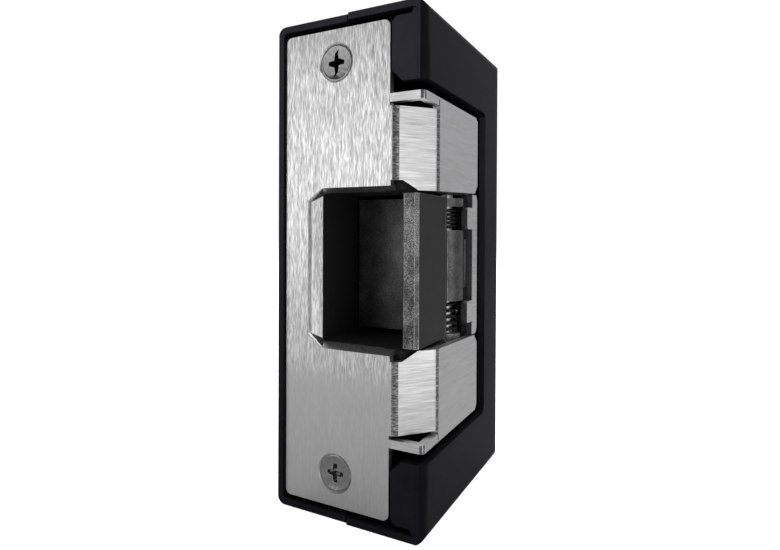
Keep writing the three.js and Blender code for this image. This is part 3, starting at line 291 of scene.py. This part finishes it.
def plate_steel():
    """Brushed stainless, with upright grain on the flat plate and level grain on the formed lips.

    The plate's lower end has painted dimmer reflection: a calmer grain and a narrower range of tones. The
    side lips get painted shade: darker tones.
    """
    finish = Finish("plate_steel")
    finish.set(metallic=1.0)
    fine_upright = finish.noise((0.22 * MM, 0.22 * MM, 2.4 * MM), 2.5, 0.6)
    broad_upright = finish.noise((0.7 * MM, 0.7 * MM, 9 * MM), 2.0)
    fine_level = finish.noise((6 * MM, 6 * MM, 0.2 * MM), 3.0, 0.6)
    broad_level = finish.noise((14 * MM, 14 * MM, 0.8 * MM), 2.0)
    upright = finish.mixed(0.2, fine_upright, broad_upright)
    level = finish.mixed(0.3, fine_level, broad_level)
    on_lips = finish.axis("X", lips_start, lips_start + 0.5 * MM)
    grain = finish.mixed(on_lips, upright, level)
    # Painted reflection: below this height the plate gets a calmer grain and dimmer tones, as if the lamp's
    # reflection fell only on the upper part.
    painted_reflection_height = finish.axis("Z", -32 * MM, -22 * MM)
    painted_reflection_grain_depth = finish.between(painted_reflection_height, 0.45, 1.3, 0, 1)
    lip_depth = 0.55
    tone = finish.mixed(finish.mixed(on_lips, painted_reflection_grain_depth, lip_depth), 0.5, grain)
    bright = finish.ramp(tone, [(0.3, 0.3), (0.5, 0.64), (0.67, 1.0)])
    # Painted dim reflection: the tones of the plate's lower end.
    painted_dim_reflection_tones = finish.ramp(tone, [(0.25, 0.44), (0.5, 0.56), (0.75, 0.72)])
    # Painted shade: the side lips in darker tones than the rest of the same sheet.
    painted_shade_side_tones = finish.ramp(tone, [(0.3, 0.4), (0.5, 0.52), (0.7, 0.66)])
    # Where the painted dim reflection applies: the flat plate's lower end, never the lips.
    painted_reflection_share = finish.mixed(on_lips, painted_reflection_height, 1.0)
    on_side = finish.axis("X", plate_high.x - 0.5 * MM, plate_high.x - 0.3 * MM)
    colour = finish.tinted(painted_reflection_share, painted_dim_reflection_tones, bright)
    finish.feed("Base Color", finish.tinted(on_side, colour, painted_shade_side_tones))
    finish.feed("Roughness", finish.between(grain, 0.42, 0.28))
    finish.feed("Normal", finish.bump(tone, 0.03 * MM, 0.8))
    return finish.material


def bend_painted_dark_reflection():
    """Steel roughened where the sheet was bent, with painted dark reflection: its colour darkened on the
    convex bends.
    """
    finish = Finish("bend_painted_dark_reflection")
    finish.set(metallic=1.0)
    rub = finish.noise((1.2 * MM, 1.2 * MM, 0.35 * MM), 4.0, 0.7)
    finish.feed("Base Color", finish.ramp(rub, [(0.35, 0.08), (0.5, 0.2), (0.68, 0.6)]))
    finish.feed("Roughness", finish.between(rub, 0.55, 0.38))
    finish.feed("Normal", finish.bump(rub, 0.05 * MM, 0.8))
    return finish.material


def strap_steel():
    finish = Finish("strap_steel")
    finish.set(metallic=1.0)
    grain = finish.noise((4 * MM, 4 * MM, 0.25 * MM), 3.0)
    finish.feed("Base Color", finish.ramp(grain, [(0.3, 0.46), (0.7, 0.6)]))
    finish.feed("Roughness", finish.between(grain, 0.42, 0.3))
    finish.feed("Normal", finish.bump(grain, 0.01 * MM, 0.6))
    return finish.material


def shaded_sheared_edge():
    """The dull cut edge of the strap, darkened further as painted shade."""
    finish = Finish("shaded_sheared_edge")
    finish.set(metallic=1.0)
    grain = finish.noise((0.25 * MM, 2 * MM, 0.25 * MM), 3.0)
    finish.feed("Base Color", finish.ramp(grain, [(0.3, 0.10), (0.7, 0.2)]))
    finish.feed("Roughness", finish.between(grain, 0.6, 0.45))
    return finish.material


def case_plastic(name="case_plastic", low=1.0, high=1.0):
    """Matt black plastic, its tone times low at the bottom of the case and times high at the top: where these
    differ, a painted light falloff, lighter towards the top.
    """
    finish = Finish(name)
    finish.set(specular_ior_level=0.08)
    finish.shader.inputs["IOR"].default_value = 1.3
    cloud = finish.noise((9 * MM, 9 * MM, 9 * MM), 3.0)
    grain = finish.noise((0.35 * MM,) * 3, 2.0)
    dark, pale = (0.006, 0.0058, 0.0078), (0.0085, 0.0082, 0.0108)
    tones = [
        finish.ramp(cloud, [(0.3, tuple(k * part for part in dark)), (0.7, tuple(k * part for part in pale))])
        for k in (low, high)
    ]
    # With low and high apart, this is painted light: the tone rises from the bottom of the case to the top.
    finish.feed("Base Color", finish.tinted(finish.axis("Z", -50 * MM, 55 * MM), *tones))
    finish.feed("Roughness", finish.between(grain, 0.36, 0.5))
    finish.feed("Normal", finish.bump(grain, 0.01 * MM, 0.5))
    return finish.material


def keeper_steel():
    """Sintered steel: dark, with a fine bright speckle."""
    finish = Finish("keeper_steel")
    finish.set(metallic=0.9)
    speck = finish.noise((0.17 * MM,) * 3, 2.0, 0.7)
    cloud = finish.noise((6 * MM,) * 3, 2.0)
    tone = finish.mixed(0.25, speck, cloud)
    finish.feed("Base Color", finish.ramp(tone, [(0.4, 0.03), (0.5, 0.1), (0.6, 0.5)]))
    finish.feed("Roughness", finish.between(speck, 0.34, 0.5))
    finish.feed("Normal", finish.bump(speck, 0.03 * MM, 0.8))
    return finish.material


def keeper_side_painted_shade():
    """The keeper's jaw side in painted shade: smoother and much darker than its front."""
    finish = Finish("keeper_side_painted_shade")
    finish.set(metallic=0.3, specular_ior_level=0.3)
    cloud = finish.noise((3 * MM,) * 3, 3.0)
    fine = finish.noise((0.25 * MM,) * 3, 2.0)
    finish.feed("Base Color", finish.ramp(finish.mixed(0.4, cloud, fine), [(0.3, 0.006), (0.7, 0.011)]))
    finish.feed("Roughness", finish.between(fine, 0.45, 0.55))
    finish.feed("Normal", finish.bump(fine, 0.01 * MM, 0.5))
    return finish.material


def keeper_pocket_painted_shade():
    """The keeper's pocket and barrel in painted shade: darker, with a faint speckle."""
    finish = Finish("keeper_pocket_painted_shade")
    finish.set(metallic=0.8)
    speck = finish.noise((0.28 * MM,) * 3, 2.0, 0.7)
    cloud = finish.noise((9 * MM,) * 3, 2.0)
    tone = finish.mixed(0.4, speck, cloud)
    finish.feed("Base Color", finish.ramp(tone, [(0.38, 0.05), (0.5, 0.1), (0.62, 0.2)]))
    finish.feed("Roughness", finish.between(speck, 0.34, 0.5))
    finish.feed("Normal", finish.bump(speck, 0.01 * MM, 0.6))
    return finish.material


def edge_painted_highlight():
    """Painted highlight on bevelled edges: a lighter metal colour where the edges would catch the light."""
    finish = Finish("edge_painted_highlight")
    finish.set(metallic=1.0)
    rub = finish.noise((0.5 * MM, 0.5 * MM, 1.6 * MM), 4.0, 0.7)
    finish.feed("Base Color", finish.ramp(rub, [(0.35, 0.12), (0.5, 0.4), (0.65, 0.7)]))
    finish.feed("Roughness", finish.between(rub, 0.4, 0.25))
    return finish.material


def cast_black():
    finish = Finish("cast_black")
    finish.set(specular_ior_level=0.3)
    speck = finish.noise((0.3 * MM,) * 3, 4.0, 0.7)
    finish.feed("Base Color", finish.ramp(speck, [(0.35, 0.008), (0.65, 0.03)]))
    finish.feed("Roughness", finish.between(speck, 0.5, 0.7))
    finish.feed("Normal", finish.bump(speck, 0.03 * MM, 0.6))
    return finish.material


def screw_steel():
    finish = Finish("screw_steel")
    finish.set(metallic=1.0)
    cloud = finish.noise((1.1 * MM,) * 3, 3.0)
    fine = finish.noise((0.18 * MM,) * 3, 2.0)
    tone = finish.mixed(0.4, cloud, fine)
    finish.feed("Base Color", finish.ramp(tone, [(0.3, 0.2), (0.7, 0.36)]))
    finish.feed("Roughness", finish.between(tone, 0.3, 0.2))
    finish.feed("Normal", finish.bump(tone, 0.006 * MM, 0.5))
    return finish.material


def zinc_steel():
    finish = Finish("zinc_steel")
    finish.set(metallic=1.0)
    cloud = finish.noise((1.6 * MM,) * 3, 4.0)
    finish.feed("Base Color", finish.ramp(cloud, [(0.3, (0.46, 0.47, 0.49)), (0.7, (0.6, 0.61, 0.62))]))
    finish.feed("Roughness", finish.between(cloud, 0.3, 0.48))
    finish.feed("Normal", finish.bump(cloud, 0.01 * MM))
    return finish.material


def spring_black():
    finish = Finish("spring_black")
    finish.set(specular_ior_level=0.25)
    drawn = finish.noise((0.3 * MM,) * 3, 2.0)
    finish.feed("Base Color", finish.ramp(drawn, [(0.3, 0.003), (0.7, 0.009)]))
    finish.feed("Roughness", finish.between(drawn, 0.22, 0.38))
    return finish.material


def moulded(name, dark, bright, roughness):
    finish = Finish(name)
    finish.set(specular_ior_level=0.4)
    cloud = finish.noise((2.5 * MM,) * 3, 3.0)
    grain = finish.noise((0.2 * MM,) * 3, 2.0)
    finish.feed("Base Color", finish.ramp(cloud, [(0.3, dark), (0.7, bright)]))
    finish.feed("Roughness", finish.between(grain, roughness - 0.08, roughness + 0.08))
    finish.feed("Normal", finish.bump(grain, 0.008 * MM, 0.5))
    return finish.material


def coil_tape():
    """Wound tape: fine rings round the coil's length."""
    finish = Finish("coil_tape")
    rings = finish.noise((0.35 * MM, 8 * MM, 8 * MM), 2.0)
    finish.feed("Base Color", finish.ramp(rings, [(0.3, (0.2, 0.06, 0.02)), (0.7, (0.42, 0.16, 0.06))]))
    finish.feed("Roughness", finish.between(rings, 0.35, 0.55))
    finish.feed("Normal", finish.bump(rings, 0.05 * MM, 0.7))
    return finish.material


finishes = {
    "case_black": case_plastic(),
    "brushed_stainless": plate_steel(),
    "screw_steel": screw_steel(),
    "sintered_steel": keeper_steel(),
    "cast_black": cast_black(),
    "spring_black": spring_black(),
    "zinc_steel": zinc_steel(),
    "nylon": moulded("nylon", (0.62, 0.6, 0.52), (0.8, 0.77, 0.68), 0.5),
    "coil_tape": coil_tape(),
    "rubber_black": moulded("rubber_black", 0.01, 0.02, 0.65),
}
# Painted light: the case's forward faces lighter, fading towards the bottom.
case_front_painted_light = case_plastic("case_front_painted_light", 1.8, 5.0)
# Painted highlight for the bevelled edges of the keeper and the plate screws.
edge_highlight_finish = edge_painted_highlight()


# ------------------------------------------------------------------ pieces

def piece(name, shape, node, material=None):
    """A finished mesh that stands for a CAD node and moves with its body."""
    mesh = bpy.data.meshes.new(name)
    shape.to_mesh(mesh)
    shape.free()
    mesh.materials.append(material or finishes[slot_of[node]])
    made = bpy.data.objects.new(name, mesh)
    bpy.context.collection.objects.link(made)
    for face in mesh.polygons:
        face.use_smooth = True
    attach(made, body_of[node])
    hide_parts(node)
    return made


def soften(made, width, segments=3, angle=30, edge_finish=None):
    """Rounds every sharp edge by the same small radius, in its own finish where one is given."""
    bevel = made.modifiers.new("edges", "BEVEL")
    bevel.width = width
    bevel.segments = segments
    bevel.limit_method = "ANGLE"
    bevel.angle_limit = math.radians(angle)
    bevel.miter_outer = "MITER_ARC"
    bevel.use_clamp_overlap = True
    if edge_finish:
        made.data.materials.append(edge_finish)
        bevel.material = len(made.data.materials) - 1
    normals = made.modifiers.new("normals", "WEIGHTED_NORMAL")
    normals.keep_sharp = False
    normals.weight = 80
    return made


def rolled(shape, width, chosen):
    """Rounds the chosen edges of a shape broadly."""
    edges = [edge for edge in shape.edges if chosen(edge)]
    bmesh.ops.bevel(
        shape, geom=edges, offset=width, offset_type="OFFSET", segments=5, profile=0.5, affect="EDGES",
        material=-1, clamp_overlap=True,
    )
    return shape


def dressed(made, material, test):
    """Gives the faces that pass the test another finish."""
    made.data.materials.append(material)
    for face in made.data.polygons:
        if test(face):
            face.material_index = len(made.data.materials) - 1
    return made


WELD = 2e-6
NEARLY_FLAT = math.radians(0.6)


def merged_copy(node):
    """A CAD node's mesh with its flat faces whole again."""
    shape = bmesh.new()
    shape.from_mesh(frame["nodes"][node].data)
    bmesh.ops.remove_doubles(shape, verts=shape.verts, dist=WELD)
    bmesh.ops.dissolve_limit(
        shape, angle_limit=NEARLY_FLAT, verts=shape.verts, edges=shape.edges,
        use_dissolve_boundaries=False, delimit=set(),
    )
    return shape


def drawn_line(shape, points):
    """A chain of edges through the points."""
    verts = [shape.verts.new(point) for point in points]
    edges = [shape.edges.new(pair) for pair in zip(verts, verts[1:])]
    return verts + edges


def drawn_out(shape, edges, move):
    """Extrudes the edges along a move, and gives back the new edges and their points."""
    grown = bmesh.ops.extrude_edge_only(shape, edges=edges)["geom"]
    verts = [item for item in grown if isinstance(item, bmesh.types.BMVert)]
    bmesh.ops.translate(shape, verts=verts, vec=move)
    return [item for item in grown if isinstance(item, bmesh.types.BMEdge)], verts


def plate_screw(node):
    """A countersunk screw, turned about its length, with a cross recess sunk into its head."""
    low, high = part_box(node)
    centre = Vector(((low.x + high.x) / 2, low.y, (low.z + high.z) / 2))
    shape = bmesh.new()
    head, shank, length = (high.x - low.x) / 2, 2.7 * MM, high.y - low.y
    sunk = 0.14 * MM
    profile = [
        (head - 1.0 * MM, sunk), (head - 0.75 * MM, 0), (head - 0.3 * MM, 0), (head - 0.1 * MM, 0.1 * MM),
        (head, 0.35 * MM), (shank, 2.15 * MM),
    ]
    pitch = 0.8 * MM
    turns = int((length - 3.6 * MM) / pitch)
    for turn in range(turns):
        start = 2.4 * MM + turn * pitch
        profile += [(shank - 0.35 * MM, start + 0.3 * pitch), (shank, start + 0.7 * pitch)]
    profile += [(shank - 0.9 * MM, length - 0.2 * MM), (0.4 * MM, length)]
    chain = drawn_line(shape, [centre + Vector((radius, depth, 0)) for radius, depth in profile])
    bmesh.ops.spin(shape, geom=chain, cent=centre, axis=(0, 1, 0), angle=math.tau, steps=56, use_merge=True)
    bmesh.ops.remove_doubles(shape, verts=shape.verts, dist=1e-7)
    tip_start = centre.y + length - 1e-6
    tip = [edge for edge in shape.edges if all(vert.co.y > tip_start for vert in edge.verts)]
    bmesh.ops.contextual_create(shape, geom=tip)
    face_ring = [edge for edge in shape.edges if edge.is_boundary]
    reach, half, round_in = 2.45 * MM, 0.55 * MM, 0.75 * MM
    arm = [(reach, -half), (reach, half), (round_in, round_in)]
    cross = []
    for quarter in range(4):
        turn = Matrix.Rotation(-quarter * math.pi / 2, 3, "Y")
        cross += [centre + turn @ Vector((x, sunk, z)) for x, z in arm]
    verts = [shape.verts.new(point) for point in cross]
    outline = [shape.edges.new(pair) for pair in zip(verts, verts[1:] + verts[:1])]
    bmesh.ops.bridge_loops(shape, edges=face_ring + outline)
    recess_steps = ((1.1 * MM, 0.86), (0.9 * MM, 0.42))
    for deeper, shrink in recess_steps:
        outline, verts = drawn_out(shape, outline, (0, deeper, 0))
        bmesh.ops.scale(shape, verts=verts, vec=(shrink, 1, shrink), space=Matrix.Translation(-centre))
    bmesh.ops.contextual_create(shape, geom=outline)
    bmesh.ops.recalc_face_normals(shape, faces=shape.faces)
    made = piece(f"{node}_turned", shape, node)
    recess_depth = sunk + sum(deeper for deeper, _ in recess_steps)
    for face in made.data.polygons:
        off = face.center - centre
        if math.hypot(off.x, off.z) < reach + 0.1 * MM and off.y < recess_depth + 0.1 * MM:
            face.use_smooth = False
    # The screw's bevelled edges get the painted highlight.
    return soften(made, 0.07 * MM, 2, 35, edge_highlight_finish)


def coil_spring(node, axis, radius, wire, turns, start_angle, leg):
    """Round wire wound about an upright axis over the node's height, with a straight leg at each end."""
    low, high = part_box(node)
    inset = wire + 0.01 * MM
    bottom, top = low.z + inset, high.z - inset
    shape = bmesh.new()
    axis = Vector((axis[0], axis[1], 0))
    out = Vector((math.cos(start_angle), math.sin(start_angle), 0))
    along = Vector((-out.y, out.x, 0))
    place = Matrix.Translation(axis + out * radius + Vector((0, 0, bottom)))
    facing = Matrix((out, Vector((0, 0, 1)), along)).transposed().to_4x4()
    ring = bmesh.ops.create_circle(
        shape, cap_ends=False, radius=wire, segments=12, matrix=place @ facing
    )["verts"]
    first = shape.edges[:]
    steps = int(turns * 28)
    wound = bmesh.ops.spin(
        shape, geom=ring + first, cent=axis, axis=(0, 0, 1), dvec=(0, 0, (top - bottom) / steps),
        angle=turns * math.tau, steps=steps,
    )["geom_last"]
    last = [item for item in wound if isinstance(item, bmesh.types.BMEdge)]
    end = Matrix.Rotation(turns * math.tau, 3, "Z")
    for edges, move in ((first, -along * leg), (last, end @ along * leg)):
        bmesh.ops.contextual_create(shape, geom=drawn_out(shape, edges, move)[0])
    bmesh.ops.recalc_face_normals(shape, faces=shape.faces)
    return piece(f"{node}_wound", shape, node)


def keeper_spring(node):
    return coil_spring(node, hinge.xy, 2.85 * MM, 0.45 * MM, 4.25, 1.5 * math.pi, 3.2 * MM)


def lever_spring(node):
    return coil_spring(node, middle("lever_pin").xy, 2.15 * MM, 0.3 * MM, 3.25, 0, 1.6 * MM)


def rubber_grommet(node):
    """A soft ring turned about the lead's way out, with a lip on each side of the wall."""
    low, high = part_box(node)
    centre = Vector(((low.x + high.x) / 2, 0, (low.z + high.z) / 2))
    shape = bmesh.new()
    bore, neck, lip = 3.4 * MM, 4.65 * MM, (high.x - low.x) / 2
    front, back = low.y, high.y
    section = [
        (bore, front + 0.5 * MM), (bore + 0.35 * MM, front), (lip - 0.3 * MM, front), (lip, front + 0.3 * MM),
        (lip - 0.1 * MM, front + 1.1 * MM), (neck, front + 1.2 * MM), (neck, back - 0.25 * MM),
        (neck - 0.25 * MM, back), (bore + 0.3 * MM, back), (bore, back - 0.4 * MM),
    ]
    points = [centre + Vector((radius, y, 0)) for radius, y in section]
    chain = drawn_line(shape, points + points[:1])
    bmesh.ops.spin(shape, geom=chain, cent=centre, axis=(0, 1, 0), angle=math.tau, steps=48, use_merge=True)
    bmesh.ops.remove_doubles(shape, verts=shape.verts, dist=1e-7)
    bmesh.ops.recalc_face_normals(shape, faces=shape.faces)
    return soften(piece(f"{node}_moulded", shape, node), 0.12 * MM, 2)


def strap_of_hinge(node):
    """The strap with its bright outer face and dull sheared edges, which are also in painted shade."""
    made = piece(f"{node}_pressed", merged_copy(node), node, strap_steel())
    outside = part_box(node)[1].x
    # Painted shade on the sheared edges and the hidden side, on top of their dull cut finish.
    dressed(made, shaded_sheared_edge(), lambda face: face.center.x < outside - 0.1 * MM)
    return soften(made, 0.2 * MM, 2)


def pressed_faceplate(node):
    """The plate: broad rolls round the opening, painted dark reflection on the bends between plate, ramps and
    side lips.
    """
    opening_left, opening_right, opening_end = -13.4 * MM, 11 * MM, 22.5 * MM
    bends_back = -49 * MM

    def on_roll(edge):
        at_front = all(vert.co.y < plate_front + 0.05 * MM for vert in edge.verts)
        inside = all(
            opening_left < vert.co.x < opening_right and abs(vert.co.z) < opening_end for vert in edge.verts
        )
        return at_front and inside and edge.calc_face_angle(0) > math.radians(25)

    def on_bend(face):
        turned = 0.15 < face.normal.x < 0.7 or 0.8 < face.normal.x < 0.98
        upright = abs(face.normal.z) < 0.05 and face.normal.y < 0
        return turned and upright and face.center.x > lips_start and face.center.y < bends_back

    made = piece(f"{node}_pressed", rolled(merged_copy(node), 1.0 * MM, on_roll), node)
    # Painted dark reflection on the bends.
    dressed(made, bend_painted_dark_reflection(), on_bend)
    return soften(made, 0.2 * MM)


def moulded_shell(node):
    """One half of the case. Its forward faces get painted light: a lighter tone, less so towards the bottom.
    """
    made = piece(f"{node}_moulded", merged_copy(node), node)
    # The forward faces get the painted light finish.
    dressed(made, case_front_painted_light, lambda face: face.normal.y < -0.9)
    return soften(made, 0.45 * MM)


def sintered_keeper(node):
    """The keeper: speckled in front, with painted shade on the jaw's side, which is smoother and dark, and in
    its pocket and barrel.
    """
    low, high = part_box(node)
    jaw_side, jaw_back = high.x - 1.5 * MM, hinge.y - 9 * MM
    barrel_left, barrel_front = hinge.x - 6 * MM, hinge.y - 6 * MM
    pocket_front, pocket_back = low.y + 1.2 * MM, hinge.y - 4 * MM

    def on_jaw_side(face):
        return face.normal.x > 0.5 and face.center.x > jaw_side and face.center.y < jaw_back

    def in_painted_shade(face):
        on_barrel = face.center.y > barrel_front and face.center.x > barrel_left
        in_pocket = pocket_front < face.center.y < pocket_back and face.center.x < hinge.x
        return on_barrel or in_pocket

    made = piece(f"{node}_sintered", merged_copy(node), node)
    # Painted shade on the jaw's side.
    dressed(made, keeper_side_painted_shade(), on_jaw_side)
    # Painted shade in the pocket and on the barrel.
    dressed(made, keeper_pocket_painted_shade(), in_painted_shade)
    # The keeper's bevelled edges get the painted highlight.
    return soften(made, 0.2 * MM, 2, 30, edge_highlight_finish)


def cast_case(node):
    """The case, with the machined boss under the keeper's hinge."""
    boss_reach, boss_low, boss_high = 4.35 * MM, -25 * MM, -18 * MM

    def on_boss(face):
        reach = (face.center.xy - hinge.xy).length
        return reach < boss_reach and boss_low < face.center.z < boss_high

    made = piece(f"{node}_cast", merged_copy(node), node)
    dressed(made, finishes[slot_of["keeper"]], on_boss)
    return soften(made, 0.3 * MM, 2)


MAKERS = {
    "upper_plate_screw": plate_screw,
    "lower_plate_screw": plate_screw,
    "upper_keeper_spring": keeper_spring,
    "lower_keeper_spring": keeper_spring,
    "lever_spring": lever_spring,
    "lead_grommet": rubber_grommet,
    "hinge_strap": strap_of_hinge,
    "faceplate": pressed_faceplate,
    "keeper": sintered_keeper,
    "strike_case": cast_case,
    "left_shell": moulded_shell,
    "right_shell": moulded_shell,
}
BENT_SHEETS = ("solenoid_yoke", "lever_bracket", "rear_plate")  # their edges are rounder than the rest


def make_pieces():
    for node, maker in MAKERS.items():
        maker(node)
    for node in slot_of:
        if node not in MAKERS:
            made = piece(f"{node}_finished", merged_copy(node), node)
            soften(made, (0.2 if node in BENT_SHEETS else 0.12) * MM)


make_studio()
make_pieces()
